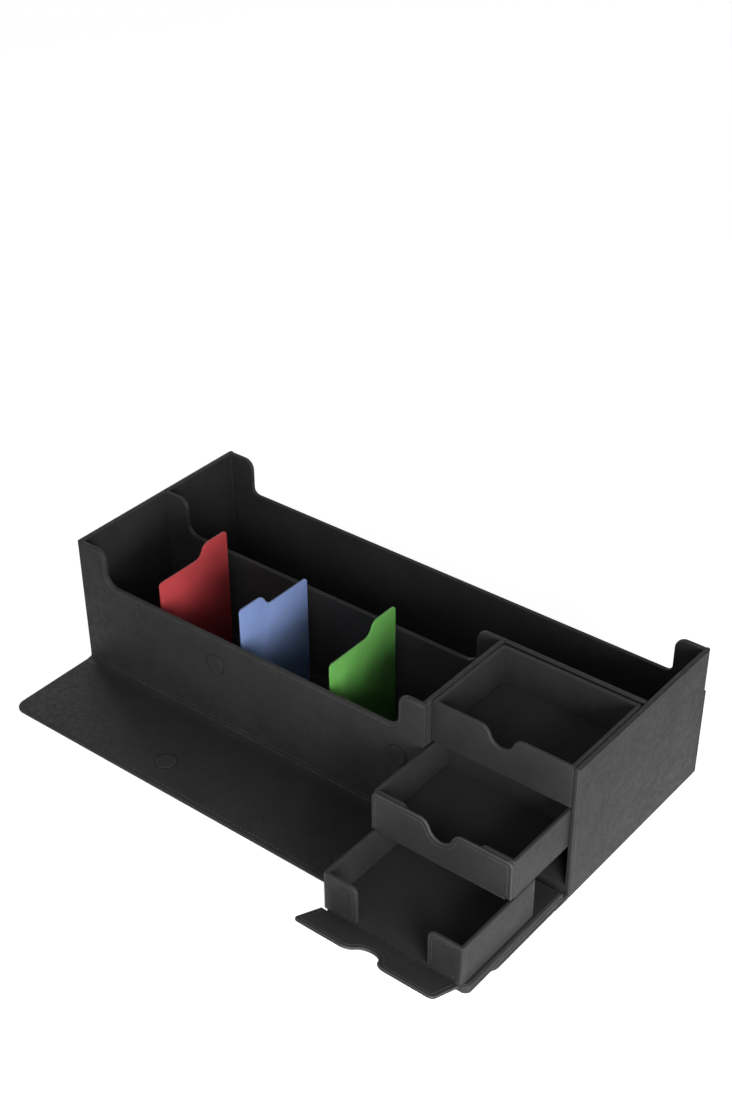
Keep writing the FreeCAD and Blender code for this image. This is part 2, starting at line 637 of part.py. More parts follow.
def build_token_tray():
    """The open tray over the drawers, with the thumb notch in its front wall, and its lining."""
    tray = new_body("token_tray", "drawer_left", "front_recess", "tray_level")
    inner_right = "drawer_width - tray_wall"
    inner_back = "tray_depth - tray_wall"
    floor = outline(tray, "XY_Plane", "floor_outline",
                    [("0", "0"), ("drawer_width", "0"),
                     ("drawer_width", "tray_depth", "drawer_corner"),
                     ("0", "tray_depth", "drawer_corner")])
    extrude(tray, "Pad", floor, "floor_pad", "tray_floor")
    walls = outline(tray, "XY_Plane", "walls_outline",
                    [("0", "0"), ("tray_wall", "0"), ("tray_wall", inner_back),
                     (inner_right, inner_back), (inner_right, "0"), ("drawer_width", "0"),
                     ("drawer_width", "tray_depth", "drawer_corner"),
                     ("0", "tray_depth", "drawer_corner")])
    extrude(tray, "Pad", walls, "walls_pad", "tray_height")
    front = notched_outline(tray, "front_outline", "drawer_width", "0", "tray_height")
    extrude(tray, "Pad", front, "front_pad", "tray_wall", backwards=True)
    deepest = value("tray_height - notch_depth - edge_bevel")
    break_edges(tray, "Chamfer", "soft_rim", "drawer_edge",
                lambda edge: edge.BoundBox.ZMin > deepest
                and not (abs(edge.BoundBox.YMin) < TOUCH
                         and abs(edge.BoundBox.YMax - value("tray_wall")) < TOUCH))
    liner = new_body("token_tray_lining", "drawer_left + tray_wall + running_gap",
                     "front_recess + tray_wall + running_gap", "tray_level + tray_floor")
    sheet = outline(liner, "XY_Plane", "lining_outline",
                    [("0", "0"), ("drawer_width - 2 * tray_wall - 2 * running_gap", "0"),
                     ("drawer_width - 2 * tray_wall - 2 * running_gap",
                      "tray_depth - 2 * tray_wall - 2 * running_gap"),
                     ("0", "tray_depth - 2 * tray_wall - 2 * running_gap")])
    extrude(liner, "Pad", sheet, "lining_pad", "lining_thickness")


def build_card_dividers():
    """The three tinted dividers that stand in the front compartment."""
    for colour, tab_at_back in (("red", True), ("blue", False), ("green", True)):
        card = new_body(f"{colour}_card_divider", f"{colour}_place", "wall + card_offset",
                        "card_level")
        sketch = wave_outline(card, "card_outline", tab_at_back)
        extrude(card, "Pad", sketch, "card_pad", "card_thickness")


def write_parts():
    """Check every sub-part and write each one to a STEP file of its own."""
    document.recompute()
    faulty = [item.Label for item in document.Objects
              if "Invalid" in item.State or "Error" in item.State]
    if faulty:
        raise RuntimeError("not built: " + ", ".join(faulty))
    os.makedirs("parts", exist_ok=True)
    for body in document.findObjects("PartDesign::Body"):
        if body.Shape.isNull() or not body.Shape.isValid() or not body.Shape.Solids:
            raise RuntimeError("no valid solid: " + body.Label)
        body.Shape.exportStep(f"parts/{body.Label}.step")


fill_sheet()
build_case()
build_flap()
build_door()
build_drawer("upper", "upper_level", "upper_out", "0")
build_drawer("lower", "lower_level", "lower_out", "lower_drop_angle")
build_token_tray()
build_card_dividers()
write_parts()
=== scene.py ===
"""Looks of the card drawer box: wrapped boards, seams, stitching, lining and tinted dividers.

Metres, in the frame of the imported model: X to the right, Y to the back, Z up.
"""

import json
import math

import bmesh
import bpy
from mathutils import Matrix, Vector


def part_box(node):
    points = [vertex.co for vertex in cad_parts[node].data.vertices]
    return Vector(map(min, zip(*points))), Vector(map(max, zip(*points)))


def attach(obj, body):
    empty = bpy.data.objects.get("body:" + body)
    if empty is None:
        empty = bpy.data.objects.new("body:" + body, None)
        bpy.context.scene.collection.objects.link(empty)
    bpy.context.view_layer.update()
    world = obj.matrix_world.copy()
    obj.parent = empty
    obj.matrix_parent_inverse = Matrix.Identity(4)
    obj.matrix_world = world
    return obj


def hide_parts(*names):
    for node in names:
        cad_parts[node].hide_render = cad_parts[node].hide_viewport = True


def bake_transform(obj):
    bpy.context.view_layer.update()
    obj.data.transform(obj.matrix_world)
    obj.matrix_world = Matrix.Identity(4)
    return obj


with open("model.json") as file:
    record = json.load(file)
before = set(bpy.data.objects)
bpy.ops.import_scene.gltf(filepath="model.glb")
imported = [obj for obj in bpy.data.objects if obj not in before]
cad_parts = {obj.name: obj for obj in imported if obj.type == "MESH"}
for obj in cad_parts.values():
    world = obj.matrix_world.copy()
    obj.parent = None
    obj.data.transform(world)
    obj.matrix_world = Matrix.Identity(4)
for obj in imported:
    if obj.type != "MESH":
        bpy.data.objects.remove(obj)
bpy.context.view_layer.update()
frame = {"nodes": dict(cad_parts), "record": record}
nodes = frame["nodes"]
body_of_node = {node: body for body, members in frame["record"]["behaviour"]["bodies"].items()
                for node in members}
slot_of_node = {part["node"]: part["material_slot"] for part in frame["record"]["subparts"]}

MM = 0.001
UP = Vector((0, 0, 1))
DOWN = -UP
FRONT = Vector((0, -1, 0))
BACK = -FRONT
RIGHT = Vector((1, 0, 0))
LEFT = -RIGHT

# the camera: lengths in pixels of an image this wide, place in metres, turn in degrees
IMAGE_WIDTH = 732
SENSOR_WIDTH = 36
FOCAL_PIXELS = 1741.05
CENTRE_SHIFT_X = 10.83
CENTRE_SHIFT_Y = 102.85
CAMERA_PLACE = (0.6172, -0.7826, 0.7870)
CAMERA_TURN = (53.7203, 0.5545, 38.8285)
# where the lamps point, and each one's name, place, side in metres and power in watts
LIT_PLACE = Vector((0.05, -0.05, 0.04))
LAMPS = (("right_window", (0.75, -0.5, 0.25), 0.4, 6.9),
         ("front_window", (0.25, -1.0, 0.55), 0.5, 1.5),
         ("left_window", (-1.4, 0.55, 0.4), 0.25, 1.4))
FLOOR_REACH = 6
FLOOR_LEVEL = -0.6 * MM

# linear colours
CHARCOAL = (0.0285, 0.0274, 0.0279)
# lighter charcoal for the boards' turned edges and the front crease: a painted highlight
CHARCOAL_RIM_HIGHLIGHT = (0.037, 0.0358, 0.0364)
MICROFIBRE = (0.0198, 0.0192, 0.0206)
BOARD_PAPER = (0.016, 0.016, 0.0165)
# lighter charcoal for pressed lines and the drop fronts' turned edges: a painted highlight
PRESSED_HIGHLIGHT = (0.064, 0.062, 0.063)
# near-black for fold lines, the front wall's foot and the magnet pads' feet: painted shadow
FOLD_SHADOW = (0.010, 0.0098, 0.010)
THREAD = (0.074, 0.072, 0.073)
RED_TINT = (0.74, 0.09, 0.10)
BLUE_TINT = (0.33, 0.45, 0.84)
GREEN_TINT = (0.20, 0.58, 0.13)
FLOOR_WHITE = (0.93, 0.93, 0.93)
FLOOR_GLOW = 0.88
WORLD_LIGHT = 0.1

# two places nearer than this are one
TOUCH = 0.02 * MM
# degrees between faces that count as one, between faces with a sharp edge, and between a
# board's sides and the rim where its edges turn
FLAT_TURN = 0.5
SHARP_TURN = 30
AXIS_TURN = 10
# cosines: under which two directions count as square to each other, and over which a face
# looks a given way, or roughly that way
SQUARE = 0.05
FACING = 0.9995
ROUGHLY_FACING = 0.3

# how far each covering rounds the edges under it
TUB_ROUND = 0.5 * MM
BOARD_ROUND = 0.4 * MM
DOOR_ROUND = 0.6 * MM
DRAWER_ROUND = 0.35 * MM
DROP_ROUND = 0.3 * MM
FLOOR_ROUND = 0.3 * MM
DIVIDER_ROUND = 0.25 * MM
SHELF_ROUND = 0.2 * MM
SPINE_ROUND = 0.2 * MM
SHEET_ROUND = 0.15 * MM
STRIP_ROUND = 0.1 * MM

# pressed lines: radius, and how far in from the edge
SEAM_RADIUS = 0.3 * MM
FINE_RADIUS = SEAM_RADIUS * 0.8
DROP_OUTER_RADIUS = 0.22 * MM
DROP_INNER_RADIUS = 0.36 * MM
FOLD_RADIUS = 0.22 * MM
CREASE_RADIUS = 0.2 * MM
RIDGE_SIDES = 6
BOARD_EDGE = 1.0 * MM
DRAWER_EDGE = 0.9 * MM
BORDER = 2.8 * MM
# where two boards close on each other: the room left between them, and how high lines stand
CLOSING_ROOM = 0.4 * MM
LINE_RISE = 0.24 * MM
LOW_RISE = 0.1 * MM

# thread: length of a stitch, gap to the next, radius, and how far from a hinge stitches end
STITCH = 2.6 * MM
STITCH_GAP = 1.0 * MM
STITCH_RADIUS = 0.22 * MM
THREAD_SIDES = 5
HEM_END = 4 * MM
# along a stitch: share of its length, share of its thickness, height by share of its rise
STITCH_RINGS = ((0, 0.5, -0.5), (0.15, 1, 0.4), (0.85, 1, 0.4), (1, 0.5, -0.5))

# covered magnets, from the outside in: share of the disc's radius, and height in millimetres
PAD_PROFILE = ((1.09, 0.03), (1.0, 0.05), (0.96, 0.36), (0.91, 0.66), (0.84, 0.84), (0.74, 0.86),
               (0.64, 0.78), (0.3, 0.74))
STUD_PROFILE = ((1.3, -0.004), (1.2, 0.001), (1.0, 0.006), (0.5, 0.009))
ROUND_SIDES = 40
# how far under its disc's face the covering lies
PAD_SINK = {"wall_magnet_pads": 0.5 * MM, "flap_magnet_pads": 0.5 * MM,
            "upper_drawer_magnets": 0, "lower_drawer_magnets": 0,
            "upper_drop_magnets": CLOSING_ROOM, "lower_drop_magnets": CLOSING_ROOM}

# the thin coverings that bend at the hinges, as points out from the front wall and up, in
# millimetres, and how far out the bend ends
WALL_LINE = ((0.1, 8.0), (0.12, 5.6), (0.14, 5.0), (0.5, 4.2), (1.1, 3.75), (2.0, 3.55),
             (3.6, 3.3), (5.0, 3.12), (7.0, 3.09), (8.4, 3.05), (8.8, 2.6))
DOOR_LINE = ((-1.2, 3.34), (0.4, 3.34), (1.6, 3.33), (3.0, 3.33), (4.4, 3.33), (6.0, 3.33))
UNDER_LINE = ((-2.0, -0.05), (0.0, -0.05), (1.6, -0.05), (3.0, -0.05), (4.6, -0.05),
              (7.0, -0.05))
WEB_THICKNESS = 0.25 * MM
WEB_STEP = 12 * MM
# how far inside the case's ends they stop, and the front one at the left
WEB_MARGIN = 0.3 * MM
FRONT_WEB_MARGIN = 1 * MM
# levels on the front wall: where the front one starts to bend, and of two lines across it
WALL_LEVEL = 5 * MM
CREASE_LEVEL = 7.9 * MM
WALL_FOLD_LEVEL = 5.2 * MM


# ---- materials ---------------------------------------------------------------------------

def new_material(name):
    """A material, its node tree and its Principled shader."""
    material = bpy.data.materials.new(name)
    material.use_nodes = True
    tree = material.node_tree
    return material, tree, tree.nodes["Principled BSDF"]


def noise(tree, place, scale, detail=2.0, roughness=0.5):
    """A noise texture in the object's own metres."""
    texture = tree.nodes.new("ShaderNodeTexNoise")
    texture.inputs["Scale"].default_value = scale
    texture.inputs["Detail"].default_value = detail
    texture.inputs["Roughness"].default_value = roughness
    tree.links.new(place, texture.inputs["Vector"])
    return texture.outputs["Fac"]


def spread(tree, source, low, high, start=0.35, stop=0.65):
    """The source's middle range spread over low to high."""
    node = tree.nodes.new("ShaderNodeMapRange")
    node.inputs["From Min"].default_value = start
    node.inputs["From Max"].default_value = stop
    node.inputs["To Min"].default_value = low
    node.inputs["To Max"].default_value = high
    tree.links.new(source, node.inputs["Value"])
    return node.outputs["Result"]


def blend_colours(tree, factor, first, second):
    """A mix of two colours."""
    node = tree.nodes.new("ShaderNodeMix")
    node.data_type = "RGBA"
    node.inputs["A"].default_value = (*first, 1)
    node.inputs["B"].default_value = (*second, 1)
    tree.links.new(factor, node.inputs["Factor"])
    return node.outputs["Result"]


def scaled(colour, factor):
    """A colour made lighter or darker."""
    return tuple(channel * factor for channel in colour)


def bumps(tree, shader, heights, distance, strength):
    """Bump from the sum of some height textures."""
    total = heights[0]
    for height in heights[1:]:
        add = tree.nodes.new("ShaderNodeMath")
        tree.links.new(total, add.inputs[0])
        tree.links.new(height, add.inputs[1])
        total = add.outputs["Value"]
    bump = tree.nodes.new("ShaderNodeBump")
    bump.inputs["Distance"].default_value = distance
    bump.inputs["Strength"].default_value = strength
    tree.links.new(total, bump.inputs["Height"])
    tree.links.new(bump.outputs["Normal"], shader.inputs["Normal"])


def leatherette(name, colour, roughness=0.62, sheen=0.05):
    """Matt leatherette: pebbled grain of half a millimetre and soft cloudy patches."""
    material, tree, shader = new_material(name)
    place = tree.nodes.new("ShaderNodeTexCoord").outputs["Object"]
    clouds = spread(tree, noise(tree, place, scale=38, detail=4, roughness=0.6), 0, 1)
    tree.links.new(blend_colours(tree, clouds, scaled(colour, 0.86), scaled(colour, 1.13)),
                   shader.inputs["Base Color"])
    gloss = noise(tree, place, scale=260, detail=3)
    tree.links.new(spread(tree, gloss, roughness - 0.07, roughness + 0.07),
                   shader.inputs["Roughness"])
    pebble = tree.nodes.new("ShaderNodeTexVoronoi")
    pebble.inputs["Scale"].default_value = 1900
    tree.links.new(place, pebble.inputs["Vector"])
    grain = noise(tree, place, scale=900, detail=3)
    bumps(tree, shader, [pebble.outputs["Distance"], grain], distance=0.16 * MM, strength=0.55)
    shader.inputs["Specular IOR Level"].default_value = 0.18
    shader.inputs["Sheen Weight"].default_value = sheen
    shader.inputs["Sheen Roughness"].default_value = 0.45
    return material


def microfibre(name, colour):
    """Short napped microfibre, brushed one way here and the other way there."""
    material, tree, shader = new_material(name)
    place = tree.nodes.new("ShaderNodeTexCoord").outputs["Object"]
    nap = spread(tree, noise(tree, place, scale=24, detail=5, roughness=0.65), 0, 1)
    tree.links.new(blend_colours(tree, nap, scaled(colour, 0.8), scaled(colour, 1.2)),
                   shader.inputs["Base Color"])
    shader.inputs["Roughness"].default_value = 0.92
    shader.inputs["Specular IOR Level"].default_value = 0.2
    shader.inputs["Sheen Weight"].default_value = 0.08
    shader.inputs["Sheen Roughness"].default_value = 0.6
    fibres = noise(tree, place, scale=3200, detail=2)
    tufts = noise(tree, place, scale=700, detail=3)
    bumps(tree, shader, [fibres, tufts], distance=0.12 * MM, strength=0.5)
    return material


# the period of a wave texture of scale 1
WAVE_PERIOD = math.tau / 20


def woven(name, colour, pitch):
    """Fine woven cloth or twisted thread, ribbed at the pitch given."""
    material, tree, shader = new_material(name)
    place = tree.nodes.new("ShaderNodeTexCoord").outputs["Object"]
    ribs = []
    for direction in ("X", "Y"):
        wave = tree.nodes.new("ShaderNodeTexWave")
        wave.bands_direction = direction
        wave.inputs["Scale"].default_value = WAVE_PERIOD / pitch
        wave.inputs["Distortion"].default_value = 0.6
        tree.links.new(place, wave.inputs["Vector"])
        ribs.append(wave.outputs["Fac"])
    shade = spread(tree, noise(tree, place, scale=400, detail=3), 0, 1)
    tree.links.new(blend_colours(tree, shade, scaled(colour, 0.85), scaled(colour, 1.15)),
                   shader.inputs["Base Color"])
    shader.inputs["Roughness"].default_value = 0.8
    bumps(tree, shader, ribs, distance=0.08 * MM, strength=0.4)
    return material


def tinted_sheet(name, colour):
    """Frosted, tinted clear plastic with faint handling marks."""
    material, tree, shader = new_material(name)
    place = tree.nodes.new("ShaderNodeTexCoord").outputs["Object"]
    haze = spread(tree, noise(tree, place, scale=30, detail=3), 0, 1)
    tree.links.new(blend_colours(tree, haze, scaled(colour, 0.94), scaled(colour, 1.06)),
                   shader.inputs["Base Color"])
    marks = noise(tree, place, scale=120, detail=2)
    tree.links.new(spread(tree, marks, 0.34, 0.44), shader.inputs["Roughness"])
    shader.inputs["Alpha"].default_value = 0.72
    shader.inputs["Subsurface Weight"].default_value = 0.25
    shader.inputs["Subsurface Radius"].default_value = (2 * MM, 2 * MM, 2 * MM)
    ripples = noise(tree, place, scale=220, detail=2)
    bumps(tree, shader, [ripples], distance=0.02 * MM, strength=0.12)
    return material


cover_leather = leatherette("cover_leatherette", CHARCOAL)
rim_highlight_leather = leatherette("rim_highlight_leatherette", CHARCOAL_RIM_HIGHLIGHT, roughness=0.52)
pressed_highlight_leather = leatherette("pressed_highlight_leatherette", PRESSED_HIGHLIGHT, roughness=0.5)
fold_shadow_leather = leatherette("fold_shadow_leatherette", FOLD_SHADOW, roughness=0.75, sheen=0.0)
lining_cloth = microfibre("lining_microfibre", MICROFIBRE)
shelf_paper = leatherette("shelf_paper", BOARD_PAPER, roughness=0.75, sheen=0.0)
hinge_cloth = woven("hinge_cloth", CHARCOAL, pitch=0.5 * MM)
thread = woven("thread", THREAD, pitch=0.35 * MM)
tints = {colour: tinted_sheet(f"{colour}_tint", tint)
         for colour, tint in (("red", RED_TINT), ("blue", BLUE_TINT), ("green", GREEN_TINT))}


# ---- shapes ------------------------------------------------------------------------------

def new_object(name, data):
    """An object put into the scene."""
    item = bpy.data.objects.new(name, data)
    bpy.context.scene.collection.objects.link(item)
    return item


def add_piece(name, mesh, materials, body, slot, replaced=()):
    """Put a mesh into the scene, riding on its body if it has one."""
    piece = new_object(name, mesh)
    for material in materials:
        mesh.materials.append(material)
    if body:
        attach(piece, body)
    if replaced:
        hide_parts(*replaced)
    return piece


def stored(work, mesh):
    """The mesh, filled from the working one with its flat faces made whole."""
    bmesh.ops.dissolve_limit(work, angle_limit=math.radians(FLAT_TURN), verts=work.verts,
                             edges=work.edges)
    work.to_mesh(mesh)
    work.free()
    return mesh


def plain_mesh(name, node):
    """A copy of a node's mesh with its flat faces made whole."""
    source = nodes[node].data
    work = bmesh.new()
    for vertex in source.vertices:
        work.verts.new(vertex.co)
    work.verts.ensure_lookup_table()
    for polygon in source.polygons:
        work.faces.new([work.verts[number] for number in polygon.vertices])
    bmesh.ops.remove_doubles(work, verts=work.verts, dist=TOUCH)
    return stored(work, bpy.data.meshes.new(name))


def applied(mesh, add_modifiers):
    """The mesh as it is after some modifiers."""
    carrier = new_object("carrier", mesh)
    add_modifiers(carrier)
    graph = bpy.context.evaluated_depsgraph_get()
    result = bpy.data.meshes.new_from_object(carrier.evaluated_get(graph))
    bpy.data.objects.remove(carrier)
    return result


def joined(name, members):
    """One closed mesh round several nodes that touch."""
    others = [new_object(member, plain_mesh(member, member)) for member in members[1:]]

    def unite(carrier):
        for other in others:
            union = carrier.modifiers.new("union", "BOOLEAN")
            union.operation = "UNION"
            union.solver = "EXACT"
            union.object = other

    mesh = applied(plain_mesh(name, members[0]), unite)
    for other in others:
        bpy.data.objects.remove(other)
    work = bmesh.new()
    work.from_mesh(mesh)
    bmesh.ops.remove_doubles(work, verts=work.verts, dist=TOUCH)
    bmesh.ops.holes_fill(work, edges=[edge for edge in work.edges if edge.is_boundary])
    return stored(work, mesh)


def main_axes(mesh):
    """The directions that the mesh's largest faces look in, square to each other."""
    faces = sorted(mesh.polygons, key=lambda face: -face.area)
    first = faces[0].normal.copy()
    second = next(face.normal.copy() for face in faces if abs(face.normal.dot(first)) < SQUARE)
    return first, second, first.cross(second)


def softened(mesh, width):
    """The mesh with every sharp edge rounded."""
    def bevel(carrier):
        soft = carrier.modifiers.new("soft", "BEVEL")
        soft.width = width
        soft.segments = 3
        soft.limit_method = "ANGLE"
        soft.angle_limit = math.radians(SHARP_TURN)
        soft.use_clamp_overlap = True

    result = applied(mesh, bevel)
    result.shade_smooth()
    result.set_sharp_from_angle(angle=math.radians(SHARP_TURN))
    return result


def cover(members, soft, face_rule=None, looks=None):
    """Wrap some nodes of one body in leatherette, lighter where the board's edges turn as a
    painted highlight.

    face_rule(centre) is true for faces that are lined, and looks replaces the usual
    leatherette, rim and lining.
    """
    name = f"{members[0]}_cover"
    mesh = joined(name, members) if len(members) > 1 else plain_mesh(name, members[0])
    axes = main_axes(mesh)
    mesh = softened(mesh, soft)
    least = math.cos(math.radians(AXIS_TURN))
    for face in mesh.polygons:
        if max(abs(face.normal.dot(axis)) for axis in axes) < least:
            face.material_index = 1
        elif face_rule and face_rule(face.center):
            face.material_index = 2
    return add_piece(name, mesh, looks or [cover_leather, rim_highlight_leather, lining_cloth],
                     body_of_node[members[0]], slot_of_node[members[0]], members)


def inside(low, high):
    """A rule that is true for faces between two corners, a little inside them."""
    def rule(centre):
        return all(low[axis] - TOUCH < centre[axis] < high[axis] + TOUCH for axis in range(3))

    return rule


def face_outlines(node, facing):
    """The outlines of a node's outermost flat face on one side, longest first."""
    mesh = nodes[node].data
    places = [vertex.co for vertex in mesh.vertices]
    faces = [face for face in mesh.polygons if face.normal.dot(facing) > FACING]
    furthest = max(places[number].dot(facing) for face in faces for number in face.vertices)
    edges = {}
    for face in faces:
        if min(places[number].dot(facing) for number in face.vertices) < furthest - TOUCH:
            continue
        corners = [tuple(round(value / TOUCH) for value in places[number])
                   for number in face.vertices]
        for start, end in zip(corners, corners[1:] + corners[:1]):
            if edges.get(end, {}).pop(start, None) is None:
                edges.setdefault(start, {})[end] = True
    outlines = []
    while any(edges.values()):
        start = next(corner for corner, ends in edges.items() if ends)
        outline = [start]
        while edges.get(outline[-1]):
            outline.append(edges[outline[-1]].popitem()[0])
        outlines.append([Vector(corner) * TOUCH for corner in outline[:-1]])
    return sorted(outlines, key=lambda outline: -path_length(outline))


def broad_way(node, hint):
    """The direction of a node's largest flat face that looks about the hinted way."""
    faces = [face for face in nodes[node].data.polygons
             if face.normal.dot(hint) > ROUGHLY_FACING]
    return max(faces, key=lambda face: face.area).normal.copy()


def above(outline, level):
    """The run of a closed outline that lies over a level."""
    low = next(number for number, point in enumerate(outline) if point.z < level)
    turned = outline[low:] + outline[:low]
    return [point for point in turned if point.z >= level]


def path_length(outline):
    """The length of a closed outline."""
    return sum((end - start).length for start, end in zip(outline, outline[1:] + outline[:1]))


def inset(outline, facing, distance):
    """A closed outline moved in from its edge."""
    moved = []
    for number, point in enumerate(outline):
        before = (point - outline[number - 1]).normalized()
        after = (outline[(number + 1) % len(outline)] - point).normalized()
        first, second = facing.cross(before), facing.cross(after)
        moved.append(point + (first + second) * (distance / (1 + first.dot(second))))
    return moved


def evenly(path, step):
    """Points along an open path at an even step, which is stretched a little to fit."""
    ends = path[1:]
    lengths = [(end - start).length for start, end in zip(path, ends)]
    count = max(1, round(sum(lengths) / step))
    pitch = sum(lengths) / count
    points, walked, target = [], 0.0, 0.0
    for start, end, length in zip(path, ends, lengths):
        while target <= walked + length - TOUCH and len(points) < count:
            points.append(start.lerp(end, (target - walked) / length))
            target += pitch
        walked += length
    return points + [path[-1]]


def sweep(name, rings, closed):
    """A mesh through rings of points, all of one length, capped if it is open."""
    sides = len(rings[0])
    vertices = [point for ring in rings for point in ring]
    faces = []
    last = len(rings) if closed else len(rings) - 1
    for number in range(last):
        here, there = number * sides, (number + 1) % len(rings) * sides
        for side in range(sides):
            beside = (side + 1) % sides
            faces.append((here + side, here + beside, there + beside, there + side))
    if not closed:
        faces.append(tuple(reversed(range(sides))))
        faces.append(tuple(range(len(vertices) - sides, len(vertices))))
    mesh = bpy.data.meshes.new(name)
    mesh.from_pydata(vertices, [], faces)
    mesh.shade_smooth()
    return mesh


def ring_at(point, along, facing, radius, rise, sides, height=0):
    """A ring of points round a path, standing across it."""
    across = along.cross(facing).normalized()
    return [point + facing * (height + rise * math.sin(turn)) + across * radius * math.cos(turn)
            for turn in (math.tau * side / sides for side in range(sides))]


def ridge(name, node, path, facing, radius, closed=False, material=None, rise=None):
    """A fine raised line on a node along a path, as where a covering is pressed down, lighter
    than the covering as a painted highlight unless another material is given.
    """
    ends = path[1:] + path[:1]
    rings = []
    for number, point in enumerate(path):
        before = point - path[number - 1] if closed or number else path[1] - point
        after = ends[number] - point if closed or number < len(path) - 1 else before
        along = before.normalized() + after.normalized()
        rings.append(ring_at(point, along, facing, radius, rise or radius, RIDGE_SIDES))
    add_piece(name, sweep(name, rings, closed), [material or pressed_highlight_leather],
              body_of_node[node], slot_of_node[node])


def seams(node, side, hint, distance, radius=SEAM_RADIUS, closed=True, room=0):
    """A pressed line round a node's board on one side, a little in from the edge.

    An open line leaves out the longest side, where the board is folded on. Where room is
    left for another board, the face is set back by it and the line stands low.
    """
    facing = broad_way(node, hint)
    path = tidy(inset(tidy(face_outlines(node, facing)[0]), facing, distance))
    if not closed:
        path = opened(path)
    path = [point - facing * room for point in path]
    ridge(f"{node}_{side}_seam", node, path, facing, radius, closed=closed,
          rise=LINE_RISE if room else None)


def opened(path):
    """A closed path cut open at its longest side, which is left out."""
    last = max(range(len(path)), key=lambda number: (path[number] - path[number - 1]).length)
    return path[last:] + path[:last]


def set_back(piece, facing, distance):
    """Make a board thinner from one side, with the rounded rim of that side."""
    levels = [vertex.co.dot(facing) for vertex in piece.data.vertices]
    middle = (min(levels) + max(levels)) / 2
    for vertex, level in zip(piece.data.vertices, levels):
        if level > middle:
            vertex.co -= facing * distance


def tidy(outline):
    """An outline with no point twice."""
    return [point for number, point in enumerate(outline)
            if (point - outline[number - 1]).length > TOUCH]


def stitching(name, node, path, facing, rise=STITCH_RADIUS):
    """Thread stitches along an open path, each dipping into the covering at its ends."""
    starts = evenly(path, STITCH + STITCH_GAP)
    vertices, faces = [], []
    share = STITCH / (STITCH + STITCH_GAP)
    for start, stop in zip(starts, starts[1:]):
        along = stop - start
        first = len(vertices)
        for run, size, lift in STITCH_RINGS:
            vertices += ring_at(start + along * share * run, along, facing, STITCH_RADIUS * size,
                                rise * size, THREAD_SIDES, rise * lift)
        for here in range(first, len(vertices) - THREAD_SIDES, THREAD_SIDES):
            there = here + THREAD_SIDES
            for side in range(THREAD_SIDES):
                beside = (side + 1) % THREAD_SIDES
                faces.append((here + side, here + beside, there + beside, there + side))
    mesh = bpy.data.meshes.new(name)
    mesh.from_pydata(vertices, [], faces)
    mesh.shade_smooth()
    add_piece(name, mesh, [thread], body_of_node[node], slot_of_node[node])


def border_stitches(node, side, facing):
    """Stitches a little way in from the edge of a node's face, up to its hinged side."""
    path = opened(tidy(inset(tidy(face_outlines(node, facing)[0]), facing, BORDER)))
    path[0] = path[0] + (path[1] - path[0]).normalized() * HEM_END
    path[-1] = path[-1] + (path[-2] - path[-1]).normalized() * HEM_END
    stitching(f"{node}_{side}_stitches", node, path, facing)


def return_paths(drawer, distance, outer_distance):
    """A path round the front of each of a drawer's two returns, a little in from the edge."""
    low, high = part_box(drawer)
    middle = (low.x + high.x) / 2
    upper = [point for point in face_outlines(drawer, FRONT)[0]
             if point.z > (low.z + high.z) / 2]
    for side, way, outer in (("left", 1, low.x), ("right", -1, high.x)):
        inner = max((point.x for point in upper if (point.x - middle) * way < 0),
                    key=lambda place: place * way)
        straight = max(point.z for point in upper if abs(point.x - inner) < TOUCH)
        bend = high.z - straight - distance
        start = outer + way * outer_distance
        inner -= way * distance
        corner = [(inner - way * bend * (1 - math.cos(turn)), straight + bend * math.sin(turn))
                  for turn in (math.radians(angle) for angle in (0, 30, 60, 90))]
        places = [(start, low.z + distance), (inner, low.z + distance), *corner,
                  (start, high.z - distance)]
        yield side, [Vector((place, low.y, level)) for place, level in places]


def return_edges(drawer):
    """The pressed line and the stitches on the front of each of a drawer's two returns."""
    for side, path in return_paths(drawer, DRAWER_EDGE, DRAWER_EDGE):
        ridge(f"{drawer}_{side}_return_seam", drawer, path, FRONT, FINE_RADIUS, closed=True,
              rise=LOW_RISE)
    for side, path in return_paths(drawer, BORDER, 2 * BORDER):
        stitching(f"{drawer}_{side}_return_stitches", drawer, path, FRONT, LOW_RISE)


def magnets(node, facing, profile, painted_shade_rings=0):
    """Round magnets under the covering of a node's discs, the first few rings dark as painted
    shade.
    """
    across = facing.orthogonal().normalized()
    other = facing.cross(across)
    for number, outline in enumerate(face_outlines(node, facing), start=1):
        centre = sum(outline, Vector()) / len(outline)
        radius = max((point - centre).length for point in outline)
        base = centre - facing * PAD_SINK[node]
        rings = [[base + facing * height * MM + radius * share
                  * (across * math.cos(turn) + other * math.sin(turn))
                  for turn in (math.tau * side / ROUND_SIDES for side in range(ROUND_SIDES))]
                 for share, height in profile]
        mesh = sweep(f"{node}_{number}", rings, closed=False)
        mesh.set_sharp_from_angle(angle=math.radians(SHARP_TURN))
        for face in mesh.polygons[:painted_shade_rings * ROUND_SIDES]:
            face.material_index = 1
        add_piece(f"{node}_{number}", mesh, [cover_leather, fold_shadow_leather],
                  body_of_node[node], slot_of_node[node], [node])


# ---- the case ----------------------------------------------------------------------------

# how far under a board's top its lined faces end
RIM = 1 * MM
# the share of the height over which a wall's low cut-out lies
UPPER_SHARE = 0.6
# an end wall's lines: how far in from its upright edges, from their ends, into the face and
# down from the rim
END_EDGE = 3 * MM
END_STOP = 2 * MM
END_FOLD_SINK = 0.15 * MM
END_FOLD_DROP = 0.55 * MM

